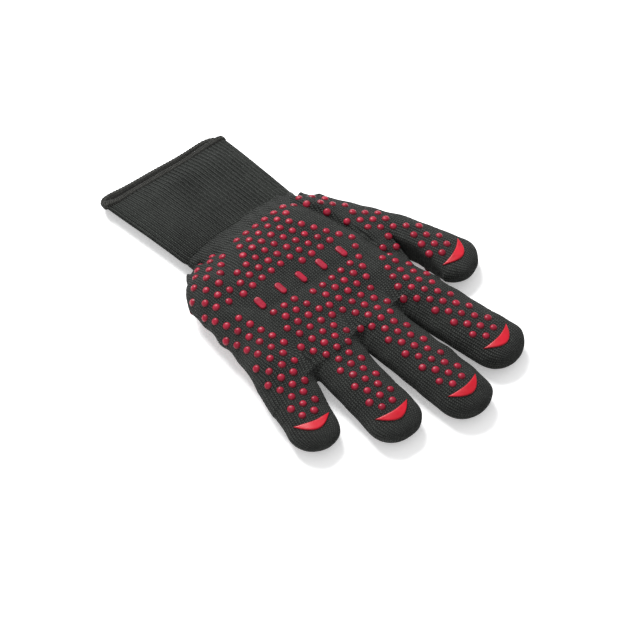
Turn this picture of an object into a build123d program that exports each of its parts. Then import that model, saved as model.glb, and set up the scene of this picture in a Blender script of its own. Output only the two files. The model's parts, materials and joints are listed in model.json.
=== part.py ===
"""Heat resistant knitted glove for outdoor cooking, palm side up, in millimetres.

+X runs along the fingers, +Y towards the thumb, +Z up out of the palm. The origin is the centre
of the footprint on the table. The glove rests on its back: on the opening's hem and on the grip
crescents of the back. Hand, finger bases and fingertips are separate pieces that fold at the
knuckles. Each is an outer knit shell with a thinner liner inside.
"""
from build123d import *
import os
from dataclasses import dataclass
from math import cos, radians, sin, sqrt

# Knit thicknesses and clearances
SHELL = 1.6
LINER = 1.2
SKIN_GAP = 0.1
JOINT_GAP = 0.3
FLOOR = 1.25          # height of the shell's underside above the table
LINER_DEPTH = SHELL + SKIN_GAP

# Centre of the footprint, seen from the datum point that the outlines below are drawn from
FOOTPRINT_X = -2.985
FOOTPRINT_Y = 0.35

# Fullness of the oval sections: 0.707 is an ellipse, larger is squarer
HAND_FULLNESS = 0.72

# Silicone grip dots
DOT_PITCH = 8.0
DOT_RADIUS = 2.05
DOT_HEIGHT = 1.2
DOT_SINK = 0.4
ROW_PITCH = DOT_PITCH * sqrt(3) / 2
DOT_CLEAR = 2.5       # least distance from a dot's centre to a folding line
DOT_NEAR = 6.3        # least distance between the dots of two patches
DOT_SLOPE = 0.5       # least upward part of the skin's normal under a dot
ROW_CLEAR = 3.4       # from a finger's last row to its crescent
FINGER_ROWS = 9
PATCH_ROWS = 24
PATCH_COLUMNS = 12

# Silicone crescents and bars
CRESCENT_WIDTH = 24.0
CRESCENT_DEPTH = 8.5
CRESCENT_HOLLOW = 1.5
CRESCENT_SINK = 0.6
PALM_RISE = 0.9
BACK_RISE = 1.6       # cut flat at the table
BAR_LENGTH = 9.0
BAR_WIDTH = 4.4
BAR_RISE = 1.0
BAR_SINK = 0.7
BAR_ROUND = 0.7
BAR_COUNT = 5
BAR_ROW = [(2.7, 21.2), (-2.8, -42.8)]

# Hand outline: station, little-finger edge, thumb edge, thickness
HAND_STATIONS = [
    (-66, -45, 44, 15.5),
    (-57, -52, 45, 19.5),
    (-44, -64, 48, 27),
    (-28, -71, 50, 29),
    (-8, -73.5, 51.5, 28),
    (10, -75, 52, 26),
    (28, -75, 50.5, 23.5),
]
WEB_STATION = (44, -66, 46, 9)
WRIST_X = -61.0

# Cuff outline: station, little-finger edge, thumb edge, thickness
CUFF_STATIONS = [
    (-160, -47, 45.5, 17.5),
    (-135, -47, 45.5, 17),
    (-95, -45, 44, 16),
    (-56, -44, 43.5, 15.5),
]
OPENING_X = -138.5
OPENING_SKEW = 7.0    # the opening's edge is this many degrees off square
HEM_LENGTH = 6.0
HEM_ROLL = 1.5        # how far the rolled edge stands past the shell
HEM_RISE = 1.6


@dataclass(frozen=True)
class Finger:
    """A finger tube: an axis point at its root, its direction and its measurements."""
    name: str
    x: float
    y: float
    turn: float           # direction in degrees from +X
    reach: float          # from the axis point to the end of the tip
    half_width: tuple     # at the root and at the tip
    thickness: tuple      # at the root and at the tip
    knuckles: tuple       # distances of the two folding lines from the axis point
    fold_turn: float      # direction the folding lines are square to
    root: tuple           # how far the tube runs back into the hand, and its size there


FINGERS = [
    Finger("index", 52.0, 37.5, 8.0, 75.5, (17.2, 18.0), (21.0, 16.0), (8.5, 43.1), 4.0,
           (24.0, 0.72)),
    Finger("middle", 52.0, 3.2, 0.5, 86.5, (16.8, 18.0), (21.0, 17.0), (5.6, 47.2), 0.0,
           (24.0, 0.72)),
    Finger("ring", 44.0, -30.5, -7.5, 77.5, (16.9, 17.5), (21.0, 16.5), (10.5, 45.1), -4.0,
           (24.0, 0.72)),
    Finger("little", 38.0, -64.2, -18.0, 56.0, (15.8, 16.0), (20.0, 15.0), (9.7, 30.5), -9.5,
           (24.0, 0.72)),
    Finger("thumb", 2.0, 59.5, 20.5, 63.0, (15.5, 17.5), (20.0, 15.5), (17.5, 34.0), 40.0,
           (44.0, 0.5)),
]
ROOT_LEVEL = 13.0         # height of a tube's middle where it starts, inside the hand
NOSE = 17.0               # length of the rounded fingertip
CRESCENT_BACK = 18.5      # from the fingertip to the crescent's chord


@dataclass(frozen=True)
class Patch:
    """An area of dots in the hand: its group, the finger its rows follow and its outline."""
    group: str
    finger: Finger
    outline: list


INDEX, MIDDLE, RING, LITTLE, THUMB = FINGERS
PATCHES = [
    Patch("finger", INDEX, [(20, 48), (20, 37), (34, 25), (62, 21), (62, 56), (40, 49)]),
    Patch("finger", RING, [(7, -19), (30, -16), (60, -13), (60, -48), (28, -45), (4, -45)]),
    Patch("finger", MIDDLE, [(7, -19), (10, 27), (14, 29), (34, 20), (62, 22), (62, -14),
                             (30, -16)]),
    Patch("edge", LITTLE, [(-13, -61), (-4, -56), (12, -51), (26, -47), (40, -49), (60, -55),
                           (60, -92), (10, -76), (-13, -74)]),
    Patch("edge", LITTLE, [(-56, -35), (-44, -35), (-30, -43), (-14, -54), (-12, -76),
                           (-60, -76)]),
    Patch("heel", MIDDLE, [(-50, -25), (-36, -32), (-11, -52), (-6, 29), (6, 28), (7, 36),
                           (-3, 40), (-14, 34), (-30, 25), (-48, 10)]),
    Patch("thumb", THUMB, [(-50, 25), (-40, 31), (-25.5, 37.5), (-23, 47.5), (-20.5, 39.8),
                           (-8, 44), (2, 48), (7, 50), (12, 43), (18, 42), (24, 52), (10, 66),
                           (-4, 70), (-24, 56), (-50, 46)]),
]


def save(piece, name):
    """Move a finished piece to the footprint's centre and write it."""
    moved = piece.moved(Location((-FOOTPRINT_X, -FOOTPRINT_Y, 0)))
    moved.label = name
    export_step(moved, f"parts/{name}.step")


def oval(plane, half_width, half_height, fullness):
    """A closed oval face through eight points, flatter than an ellipse."""
    w, h = half_width, half_height
    dw, dh = w * fullness, h * fullness
    points = [(w, 0), (dw, dh), (0, h), (-dw, dh), (-w, 0), (-dw, -dh), (0, -h), (dw, -dh)]
    with BuildSketch(plane) as made:
        with BuildLine():
            Spline(*points, periodic=True)
        make_face()
    return made.sketch


def ring(plane, half_width, half_height):
    """An upright ellipse."""
    with BuildSketch(plane) as made:
        Ellipse(half_width, half_height)
    return made.sketch


def tube(stations, inset):
    """A hand or cuff tube through its stations, its skin moved inwards by the inset."""
    sections = []
    for x, low_y, high_y, thickness in stations:
        centre = (x, (low_y + high_y) / 2, FLOOR + thickness / 2)
        plane = Plane(centre, x_dir=(0, 1, 0), z_dir=(1, 0, 0))
        half_width = (high_y - low_y) / 2 - inset
        sections.append(oval(plane, half_width, thickness / 2 - inset, HAND_FULLNESS))
    with BuildPart() as made:
        loft(sections, ruled=True)
    return made.part


def finger_tube(finger, inset):
    """A finger tube with its rounded tip, in place."""
    body = finger.reach - NOSE
    root_w, tip_w = finger.half_width
    root_h, tip_h = (t / 2 for t in finger.thickness)
    depth, narrow = finger.root
    sections = [
        (-depth, root_w * narrow, root_h * narrow, ROOT_LEVEL),
        (0.0, root_w, root_h, root_h),
        (body, tip_w, tip_h, tip_h),
    ]
    rings = [
        ring(along_finger(finger, along, FLOOR + level), width - inset, height - inset)
        for along, width, height, level in sections
    ]
    with BuildPart() as nose:
        Sphere(1.0)
        split(bisect_by=Plane.XY, keep=Keep.TOP)
        scale(by=(tip_w - inset, tip_h - inset, NOSE - inset))
    with BuildPart() as made:
        loft(rings, ruled=True)
        with Locations(along_finger(finger, body, FLOOR + tip_h)):
            add(nose.part)
    return made.part


def along_finger(finger, along, level):
    """The upright plane across a finger, its normal towards the tip."""
    a = radians(finger.turn)
    point = (finger.x + along * cos(a), finger.y + along * sin(a), level)
    return Plane(point, x_dir=(-sin(a), cos(a), 0), z_dir=(cos(a), sin(a), 0))


def fold_plane(finger, knuckle, beyond=0.0):
    """The upright plane through a folding line, its normal towards the tip."""
    a = radians(finger.turn)
    f = radians(finger.fold_turn)
    along = finger.knuckles[knuckle]
    point = (finger.x + along * cos(a) + beyond * cos(f),
             finger.y + along * sin(a) + beyond * sin(f), 0)
    return Plane(point, x_dir=(-sin(f), cos(f), 0), z_dir=(cos(f), sin(f), 0))


def opening_plane(beyond=0.0):
    """The skewed plane of the glove's opening, its normal into the glove."""
    k = radians(OPENING_SKEW)
    point = (OPENING_X + beyond * cos(k), -beyond * sin(k), 0)
    return Plane(point, x_dir=(sin(k), cos(k), 0), z_dir=(cos(k), -sin(k), 0))


def trimmed(solid, after=None, before=None):
    """The part of a solid past one plane and short of another."""
    with BuildPart() as made:
        add(solid)
        if after is not None:
            split(bisect_by=after, keep=Keep.TOP)
        if before is not None:
            split(bisect_by=before, keep=Keep.BOTTOM)
    return made.part


def hand_form(inset):
    """The hand and the finger roots as one solid."""
    with BuildPart() as made:
        web_x, *web = WEB_STATION
        add(tube(HAND_STATIONS + [(web_x - inset, *web)], inset))
        for finger in FINGERS:
            add(trimmed(finger_tube(finger, inset), before=fold_plane(finger, 0)))
        split(bisect_by=Plane((WRIST_X, 0, 0), z_dir=(1, 0, 0)), keep=Keep.TOP)
    return made.part


def cuff_form(inset, start=0.0, end=None):
    """The cuff from its opening to the wrist, or to a shorter length."""
    wrist = Plane((WRIST_X, 0, 0), z_dir=(1, 0, 0))
    finish = wrist if end is None else opening_plane(end)
    return trimmed(tube(CUFF_STATIONS, inset), opening_plane(start), finish)


def finger_form(finger, part_name, inset):
    """One segment of a finger as a solid."""
    solid = finger_tube(finger, inset)
    if part_name == "base":
        return trimmed(solid, fold_plane(finger, 0, JOINT_GAP), fold_plane(finger, 1))
    return trimmed(solid, fold_plane(finger, 1, JOINT_GAP))


def hollowed(outer, inner):
    """A skin: the outer form with the inner form taken out."""
    with BuildPart() as made:
        add(outer)
        add(inner, mode=Mode.SUBTRACT)
    return made.part


def on_skin(solid, x, y, side):
    """Where an upright line meets a form's palm side or back, and the skin's normal there."""
    hits = solid.find_intersection_points(Axis((x, y, -100), (0, 0, 1)))
    if not hits:
        return None
    point, normal = max(hits, key=lambda hit: hit[0].Z * side)
    if normal.Z * side < 0:
        normal = -normal
    return point, normal


def local(plane, x, y):
    """A plan point's distance past an upright plane, and its distance along it."""
    dx = x - plane.origin.X
    dy = y - plane.origin.Y
    past = dx * plane.z_dir.X + dy * plane.z_dir.Y
    along = dx * plane.x_dir.X + dy * plane.x_dir.Y
    return past, along


def lattice(finger, first_row, last_row, columns):
    """Plan points of a finger's dot rows, counted back into the hand from its crescent."""
    a = radians(finger.turn)
    front = finger.reach - CRESCENT_BACK - ROW_CLEAR
    points = []
    for row in range(first_row, last_row):
        along = front - row * ROW_PITCH
        shift = 0.5 if row % 2 == 0 else 0.0
        for column in range(-columns, columns + 1):
            across = (column + shift) * DOT_PITCH
            if abs(across) <= columns * DOT_PITCH:
                points.append((finger.x + along * cos(a) - across * sin(a),
                               finger.y + along * sin(a) + across * cos(a)))
    return points


def finger_points(finger):
    """Plan points of a finger's dots, as those of its base and those of its tip."""
    base, tip = [], []
    for x, y in lattice(finger, 0, FINGER_ROWS, 1):
        past_base, past_middle = (local(fold_plane(finger, k), x, y)[0] for k in (0, 1))
        if past_middle > DOT_CLEAR:
            tip.append((x, y))
        elif past_base > DOT_CLEAR and past_middle < -DOT_CLEAR:
            base.append((x, y))
    return base, tip


def inside(outline, x, y):
    """Whether a plan point is inside a closed outline."""
    found = False
    for (x1, y1), (x2, y2) in zip(outline, outline[1:] + outline[:1]):
        if (y1 > y) != (y2 > y) and x < x1 + (y - y1) * (x2 - x1) / (y2 - y1):
            found = not found
    return found


def clear_of_folds(x, y):
    """Whether a dot of the hand keeps clear of the fingers' folding lines."""
    for finger in FINGERS:
        past, along = local(fold_plane(finger, 0), x, y)
        if past > -DOT_CLEAR and abs(along) < finger.half_width[1] + DOT_RADIUS:
            return False
    return True


def patch_points(patch, taken):
    """Plan points of a palm patch: a finger's rows carried back into the hand."""
    points = []
    for x, y in lattice(patch.finger, 0, PATCH_ROWS, PATCH_COLUMNS):
        near = any((x - u) ** 2 + (y - v) ** 2 < DOT_NEAR ** 2 for u, v in taken)
        if inside(patch.outline, x, y) and clear_of_folds(x, y) and not near:
            points.append((x, y))
    return points


def domes(solid, points, side):
    """Silicone domes standing on a form's palm side or back, as separate solids."""
    sphere = (DOT_RADIUS ** 2 + DOT_HEIGHT ** 2) / (2 * DOT_HEIGHT)
    foot = sphere - DOT_HEIGHT - DOT_SINK
    with BuildPart() as dome:
        Sphere(sphere)
        split(bisect_by=Plane((0, 0, foot)), keep=Keep.TOP)
    seats = []
    for x, y in points:
        hit = on_skin(solid, x, y, side)
        if hit and hit[1].Z * side > DOT_SLOPE:
            seats.append(Plane(hit[0] - hit[1] * (sphere - DOT_HEIGHT), z_dir=hit[1]))
    with BuildPart() as made:
        with Locations(*seats):
            add(dome.part)
    return made.part


def crescent(finger, side):
    """The raised crescent near a fingertip, bowed towards the tip, following the skin."""
    rise = PALM_RISE if side > 0 else BACK_RISE
    chord = along_finger(finger, finger.reach - CRESCENT_BACK, 0)
    plan = Plane(chord.origin, x_dir=chord.z_dir, z_dir=(0, 0, 1))
    half = CRESCENT_WIDTH / 2
    with BuildSketch(plan) as outline:
        with BuildLine():
            ThreePointArc((0, -half), (CRESCENT_DEPTH, 0), (0, half))
            ThreePointArc((0, half), (CRESCENT_HOLLOW, 0), (0, -half))
        make_face()
    middle = FLOOR + finger.thickness[1] / 2
    skin = hollowed(finger_tube(finger, -rise), finger_tube(finger, CRESCENT_SINK))
    with BuildPart() as made:
        extrude(outline.sketch, amount=2 * middle, both=True)
        add(skin, mode=Mode.INTERSECT)
        half_space = Plane((0, 0, middle))
        split(bisect_by=half_space, keep=Keep.TOP if side > 0 else Keep.BOTTOM)
        if side < 0:
            split(bisect_by=Plane.XY, keep=Keep.TOP)
    return made.part


def motif(solid, side):
    """A row of plain raised bars across the palm."""
    seats = []
    for k in range(BAR_COUNT):
        part_way = k / (BAR_COUNT - 1)
        x = BAR_ROW[0][0] + (BAR_ROW[1][0] - BAR_ROW[0][0]) * part_way
        y = BAR_ROW[0][1] + (BAR_ROW[1][1] - BAR_ROW[0][1]) * part_way
        point, normal = on_skin(solid, x, y, side)
        seats.append(Plane(point - normal * BAR_SINK, x_dir=(1, 0, 0), z_dir=normal))
    with BuildPart() as bar:
        with BuildSketch():
            SlotOverall(BAR_LENGTH, BAR_WIDTH)
        extrude(amount=BAR_SINK + BAR_RISE)
        fillet(bar.faces().sort_by(Axis.Z)[-1].edges(), radius=BAR_ROUND)
    with BuildPart() as made:
        with Locations(*seats):
            add(bar.part)
    return made.part


def hem():
    """The rolled edge around the glove's opening, flat where it rests on the table."""
    band = cuff_form(-HEM_RISE, 0, HEM_LENGTH)
    shell_seat = cuff_form(-SKIN_GAP, HEM_ROLL, HEM_LENGTH + HEM_ROLL)
    mouth = cuff_form(LINER_DEPTH + LINER + SKIN_GAP, -HEM_ROLL, HEM_LENGTH + HEM_ROLL)
    with BuildPart() as made:
        add(band)
        add(shell_seat, mode=Mode.SUBTRACT)
        add(mouth, mode=Mode.SUBTRACT)
        split(bisect_by=Plane.XY, keep=Keep.TOP)
    return made.part


def build_hand():
    """The hand's shell and liner, with its dots and bars on both sides."""
    outer = hand_form(0)
    save(hollowed(outer, hand_form(SHELL)), "hand_shell")
    save(hollowed(hand_form(LINER_DEPTH), hand_form(LINER_DEPTH + LINER)), "hand_liner")
    taken = [point for finger in FINGERS for part in finger_points(finger) for point in part]
    groups = {}
    for patch in PATCHES:
        points = patch_points(patch, taken)
        taken += points
        groups.setdefault(patch.group, []).extend(points)
    for group, points in groups.items():
        save(domes(outer, points, 1), f"palm_{group}_dots")
        save(domes(outer, points, -1), f"back_{group}_dots")
    save(motif(outer, 1), "palm_bars")
    save(motif(outer, -1), "back_bars")


def build_cuff():
    """The cuff's shell, liner and hem."""
    mouth = cuff_form(SHELL, HEM_ROLL)
    save(hollowed(cuff_form(0, HEM_ROLL + SKIN_GAP), mouth), "cuff_shell")
    inner = cuff_form(LINER_DEPTH + LINER, 0)
    save(hollowed(cuff_form(LINER_DEPTH, HEM_ROLL + SKIN_GAP), inner), "cuff_liner")
    save(hem(), "cuff_hem")


def build_finger(finger):
    """A finger's base and tip: shell, liner, dots and crescents."""
    skin = finger_tube(finger, 0)
    for segment, points in zip(("base", "tip"), finger_points(finger)):
        name = f"{finger.name}_{segment}"
        layers = [finger_form(finger, segment, depth)
                  for depth in (0, SHELL, LINER_DEPTH, LINER_DEPTH + LINER)]
        save(hollowed(layers[0], layers[1]), f"{name}_shell")
        save(hollowed(layers[2], layers[3]), f"{name}_liner")
        with BuildPart() as both:
            add(domes(skin, points, 1))
            add(domes(skin, points, -1))
        save(both.part, f"{name}_dots")
    with BuildPart() as pads:
        add(crescent(finger, 1))
        add(crescent(finger, -1))
    save(pads.part, f"{finger.name}_crescents")


os.makedirs("parts", exist_ok=True)
build_hand()
build_cuff()
for each in FINGERS:
    build_finger(each)
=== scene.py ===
"""Looks of the heat resistant knitted glove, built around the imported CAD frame.

Lengths inside the script are millimetres in the frame's axes: +X along the fingers, +Y towards
the thumb, +Z up out of the palm. Meshes are scaled to metres when they are made.
"""

import json
from math import cos, pi, radians, sin

import bpy
import numpy as np
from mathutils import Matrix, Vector


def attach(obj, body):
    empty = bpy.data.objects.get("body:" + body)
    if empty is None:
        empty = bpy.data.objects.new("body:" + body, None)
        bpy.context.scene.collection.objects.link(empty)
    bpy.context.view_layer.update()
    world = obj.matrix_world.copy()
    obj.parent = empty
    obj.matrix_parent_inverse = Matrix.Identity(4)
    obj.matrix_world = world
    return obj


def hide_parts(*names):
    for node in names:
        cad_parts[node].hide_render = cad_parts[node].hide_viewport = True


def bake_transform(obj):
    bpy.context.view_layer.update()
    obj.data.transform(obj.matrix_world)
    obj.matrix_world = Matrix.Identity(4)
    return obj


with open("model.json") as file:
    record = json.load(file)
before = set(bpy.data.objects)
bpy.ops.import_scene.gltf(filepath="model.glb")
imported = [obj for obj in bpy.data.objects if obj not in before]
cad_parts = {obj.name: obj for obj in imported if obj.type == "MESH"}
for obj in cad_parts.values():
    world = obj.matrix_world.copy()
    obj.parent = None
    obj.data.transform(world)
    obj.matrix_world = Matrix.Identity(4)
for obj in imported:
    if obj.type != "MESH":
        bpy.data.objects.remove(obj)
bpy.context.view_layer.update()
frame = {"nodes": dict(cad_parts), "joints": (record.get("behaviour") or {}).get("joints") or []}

MM = 0.001
FINGER_NAMES = ("index", "middle", "ring", "little", "thumb")
FLOOR_GAP = 1.3            # underside of the skin above the table
SKIN_BOX = np.array([(-82.0, -97.0, -3.0), (146.0, 98.0, 37.0)])
GRID = 1.2                 # cell size of the skin's first mesh
SETTLE_STEP = 1.5          # furthest that a point moves in one round towards the skin
GRADIENT_STEP = 0.05
DROP_ROUNDS = 26
ARC_STEPS = 8
SIDE_BOW = 0.57            # how much of its height the palm's side adds to the way across
KNIT_TURN = (24.0, 20.0)   # where the palm's stitches turn to follow a finger, and over what length
FINGER_SIDE = 1.6          # furthest that a finger's skin reaches sideways, over its half width
WALL_POWER = 2.2           # roundness of a finger's plan and sides
RISE_POWER = 2.1           # roundness of the skin's top and underside
PALM_POWER = 2.6           # roundness of the palm's two edges

# Hand outline: station, little-finger edge, thumb edge, thickness
HAND = np.array([
    (-80, -42.0, 40.5, 13.6),
    (-64, -42.0, 40.5, 13.6),
    (-58, -47.0, 42.8, 18.5),
    (-53, -52.5, 44.4, 21.5),
    (-47, -59.5, 46.2, 24.5),
    (-41, -64.5, 48.0, 27.0),
    (-25, -71.5, 51.0, 29.0),
    (-5, -74.0, 52.0, 28.5),
    (13, -75.0, 52.5, 26.5),
    (31, -75.0, 51.5, 24.0),
    (47, -70.0, 48.0, 20.0),
    (57, -62.0, 44.0, 18.0),
])
HAND_SPREAD = 4.0          # distance over which the outline's corners are smoothed
HAND_FRONT = (52.0, 0.9)   # where the palm's body is closed off, and how steeply
HAND_BACK = -80.0          # its other end, inside the cuff
HAND_START = -64.0         # the skin is cut open here, under the cuff

# Distances over which the forms flow into each other
FINGER_BLEND = 1.6
PALM_BLEND = 7.0
CROTCH_BLEND = 2.0         # thumb into palm, beside the slot
CROTCH_START = (2.0, 16.0)  # where that change starts, and its length
SLOT_BLEND = 2.5
FLOOR_BLEND = 2.0

# Cuff outline: station, little-finger edge, thumb edge, thickness
CUFF = np.array([
    (-150, -47.5, 45.5, 12.5),
    (-134, -47.5, 45.5, 13.5),
    (-118, -47.0, 45.0, 15.0),
    (-92, -45.5, 43.8, 16.0),
    (-70, -44.5, 43.0, 15.6),
    (-50, -44.0, 42.5, 14.0),
])
CUFF_SPREAD = 6.0
CUFF_MIDDLE = -95.0        # station at which the ribs are counted
CUFF_END = -56.0           # wrist end of the ribbing
LINING_END = -62.0
CUFF_SIDE_POWER, CUFF_RISE_POWER = 0.72, 0.85
MOUTH_X = -135.8           # middle of the opening
MOUTH_SKEW = 0.123         # change of its station across the cuff
MOUTH_BACK = 4.2           # how far the back's edge reaches past the middle
MOUTH_PALM = 7.0           # how far the palm's edge stops short of it
MOUTH_CORNER = 4.5         # how far the edge is rounded back at the two sides
MOUTH_CORNER_POWER = 12
SAG = 3.4                  # drop of the palm side at the opening
SAG_LENGTH = 26.0
RIB_PITCH = 2.8
RIB_DEPTH = 0.32
RIB_SHARPNESS = 10         # how narrow the grooves between the ribs are
RIB_FADE = 14.0            # length over which the ribs die out at the wrist
CUFF_TUCK = 1.6            # how far the cuff's wrist end sinks into the hand
ROLL, ROLL_LENGTH = 0.4, 9.0    # soft waves of the cuff's palm side
LINING_GAP = (1.1, 0.9)    # lining under the ribbing at the hem, and how much deeper further in
HEM_RADIUS = 1.52
HEM_FLAT = 1.55            # the hem's length along the cuff, over its thickness
HEM_SHIFT = 0.4
HEM_WAVE, HEM_UNEVEN = 0.09, 0.10
HEM_STITCH = 2.3
HEM_STEPS = 14

KNUCKLE_LEAD = 0.4         # share of a knuckle's reach on the hand's side of its folding line
FOLD_REACH = (9.0, 0.48)   # a fold's reach to each side: most, and share of the two folds' distance
TIP_THINNER = 0.7          # how much lower half a fingertip is than half its middle joint
NOSE = 17.0                # length of a rounded fingertip
# Where a finger's form starts to narrow back into the hand, over what length, and by how much
FINGER_ROOT = (7.0, 30.0, 0.45)
THUMB_ROOT = (12.0, 54.0, 0.5)
DOT_RADIUS = 2.25
DOT_RISE = 1.22
DOT_PITCH = 8.0
DOT_FRONT = 3.4            # from a finger's first row to its crescent
DOT_ROWS = 12
DOT_APART = 6.2            # least distance between two dots
DOT_LEVEL = 0.35           # least upright part of the skin's normal under a dot
BACK_LESS = 0.40           # how much more upright it is on the back
DOT_UNEVEN = 0.05          # spread of the dots' sizes and leans
FOLD_CLEAR = 2.7           # dots this near a folding line are added here
DOME_PROFILE = [(1.16, -0.35), (1.08, 0.02), (1.0, 0.16), (0.9, 0.46), (0.72, 0.76), (0.46, 0.94),
                (0.2, 1.0)]
DOME_AROUND = 14
# Dots that carry the palm's rows on to the wrist
WRIST_DOTS = {
    "palm_heel_dots": [(-46.5, y) for y in (-18, -10, -2, 6, 14, 22)] + [(-39.8, 18)],
    "palm_edge_dots": [(-43.7, -32.8), (-51.4, -34.2), (-53.9, -41.8)],
}
BAR_LENGTH, BAR_WIDTH, BAR_RISE = 9.2, 4.5, 1.05
CRESCENT_WIDTH, CRESCENT_DEPTH, CRESCENT_HOLLOW = 24.0, 9.2, 2.7
CRESCENT_BACK = 18.5       # from a fingertip's end to its crescent's chord
CRESCENT_RISE = 0.85
CRESCENT_SIDES = 22
CRESCENT_POINT = 2.2       # how much faster a crescent's two points draw in than its sides
# Distances in from a pad's edge at which its rings of points stand, and width of its rounded edge
BAR_RINGS, BAR_RIM = (0.0, 0.12, 0.3, 0.55, 0.9, 1.4, 1.95), 0.75
CRESCENT_RINGS, CRESCENT_RIM = (0.0, 0.1, 0.28, 0.5, 0.8, 1.3), 0.7
PAD_ROOT = 0.5             # depth of a pad's foot under the skin
PAD_SINK = 0.03
EDGE_SHADE = 0.7           # how dark the foot of a pad is


def unit(v):
    v = np.asarray(v, float)
    return v / np.linalg.norm(v)


def node_points(name):
    """A CAD node's vertices in millimetres."""
    mesh = frame["nodes"][name].data
    co = np.zeros(len(mesh.vertices) * 3)
    mesh.vertices.foreach_get("co", co)
    return co.reshape(-1, 3) / MM


def islands(name):
    """Centres of a CAD node's separate solids."""
    points = node_points(name)
    keys = np.round(points, 2)
    unique, index = np.unique(keys, axis=0, return_inverse=True)
    index = index.reshape(-1)
    parent = np.arange(len(unique))
    mesh = frame["nodes"][name].data
    ends = np.zeros(len(mesh.edges) * 2, int)
    mesh.edges.foreach_get("vertices", ends)
    edges = index[ends.reshape(-1, 2)]
    while True:
        low = np.minimum(parent[edges[:, 0]], parent[edges[:, 1]])
        fresh = parent.copy()
        np.minimum.at(fresh, edges[:, 0], low)
        np.minimum.at(fresh, edges[:, 1], low)
        fresh = fresh[fresh]
        if (fresh == parent).all():
            break
        parent = fresh
    return np.array([(unique[parent == k].min(0) + unique[parent == k].max(0)) / 2
                     for k in np.unique(parent)])


JOINTS = {joint["name"]: joint for joint in frame["joints"]}


class Finger:
    """A finger's measures, read from its two joints and its shells."""

    def __init__(self, name):
        self.name = name
        knuckle, middle = JOINTS[f"{name}_knuckle"], JOINTS[f"{name}_middle_joint"]
        self.knuckle = np.array(knuckle["pos_m"], float) / MM
        self.middle = np.array(middle["pos_m"], float) / MM
        self.along = unit(self.middle[:2] - self.knuckle[:2])
        self.across = np.array([-self.along[1], self.along[0]])
        self.fold = unit([-knuckle["axis"][1], knuckle["axis"][0]])
        s, t = self.local(node_points(f"{name}_tip_shell"))
        self.end = s.max()
        self.tip_width = abs(t).max()
        base_t = self.local(node_points(f"{name}_base_shell"))[1]
        self.root_width = 2 * abs(base_t).max() - self.tip_width
        self.root_height = (self.knuckle[2] - FLOOR_GAP) / 2
        self.tip_height = (self.middle[2] - FLOOR_GAP) / 2 - TIP_THINNER
        between = (self.middle[:2] - self.knuckle[:2]) @ self.fold
        self.reach = min(FOLD_REACH[0], FOLD_REACH[1] * between)
        self.root = THUMB_ROOT if name == "thumb" else FINGER_ROOT

    def local(self, points):
        """Distances along the finger from its knuckle, and across it."""
        d = points[..., :2] - self.knuckle[:2]
        return d @ self.along, d @ self.across

    def section(self, s):
        """Half width, half height and middle's height at a distance along the finger."""
        u = np.clip(s / (self.end - NOSE), -0.3, 1)
        width = self.root_width + (self.tip_width - self.root_width) * u
        height = self.root_height + (self.tip_height - self.root_height) * u
        start, run, loss = self.root
        left = 1 - loss * np.clip((-s - start) / run, 0, 1.1)
        return width * left, height * left, height

    def past(self, points, joint):
        """Distance past a folding line."""
        origin = self.knuckle if joint == 0 else self.middle
        return (points[..., :2] - origin[:2]) @ self.fold

    def field(self, points):
        """The finger's form as a field: negative inside."""
        s, t = self.local(points)
        width, height, level = self.section(s)
        nose = np.clip((s - self.end + NOSE) / NOSE, 0, None)
        z = (points[..., 2] - FLOOR_GAP - level) / height
        r = abs(t / width) ** WALL_POWER + abs(z) ** RISE_POWER + nose ** WALL_POWER
        r = r ** (2 / (WALL_POWER + RISE_POWER))
        start, run, _ = self.root
        return (r - 1) * height + np.clip(-s - start - run, 0, None)


FINGERS = {name: Finger(name) for name in FINGER_NAMES}


def smooth_table(rows, spread):
    """A table's columns as smooth functions of its first column."""
    step = 0.5
    x = np.arange(rows[0, 0], rows[-1, 0], step)
    reach = int(3 * spread / step)
    kernel = np.exp(-0.5 * (np.arange(-reach, reach + 1) * step / spread) ** 2)
    kernel /= kernel.sum()
    columns = []
    for k in (1, 2, 3):
        y = np.interp(x, rows[:, 0], rows[:, k])
        padded = np.concatenate([np.full(reach, y[0]), y, np.full(reach, y[-1])])
        columns.append(np.convolve(padded, kernel, "valid"))
    return lambda at: [np.interp(at, x, column) for column in columns]


hand_outline = smooth_table(HAND, HAND_SPREAD)
cuff_outline = smooth_table(CUFF, CUFF_SPREAD)


def smin(a, b, k):
    """The lower of two fields, blended over k."""
    h = np.clip(0.5 + 0.5 * (b - a) / k, 0, 1)
    return b * (1 - h) + a * h - k * h * (1 - h)


def smooth(x):
    """A soft step from 0 to 1."""
    x = np.clip(x, 0, 1)
    return x * x * (3 - 2 * x)


def slab(points, outline, power):
    """A flattened tube's field."""
    low, high, thickness = outline(points[..., 0])
    centre, width, height = (low + high) / 2, (high - low) / 2, thickness / 2
    z = (points[..., 2] - FLOOR_GAP - height) / height
    r = abs((points[..., 1] - centre) / width) ** power + abs(z) ** RISE_POWER
    r = r ** (2 / (power + RISE_POWER))
    return (r - 1) * height


RNG = np.random.default_rng(7)
WAVES = [(unit(RNG.normal(size=3)), RNG.uniform(0, 2 * pi), RNG.uniform(0.75, 1.35))
         for _ in range(14)]
WAVES_LEVEL = 5            # brings the waves' sum to about 1


def waves(points, size):
    """A soft random field between about -1 and 1, with features of that size."""
    total = 0
    for direction, phase, rate in WAVES:
        total = total + np.sin(points @ direction * (2 * pi * rate / size) + phase)
    return total / WAVES_LEVEL


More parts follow.
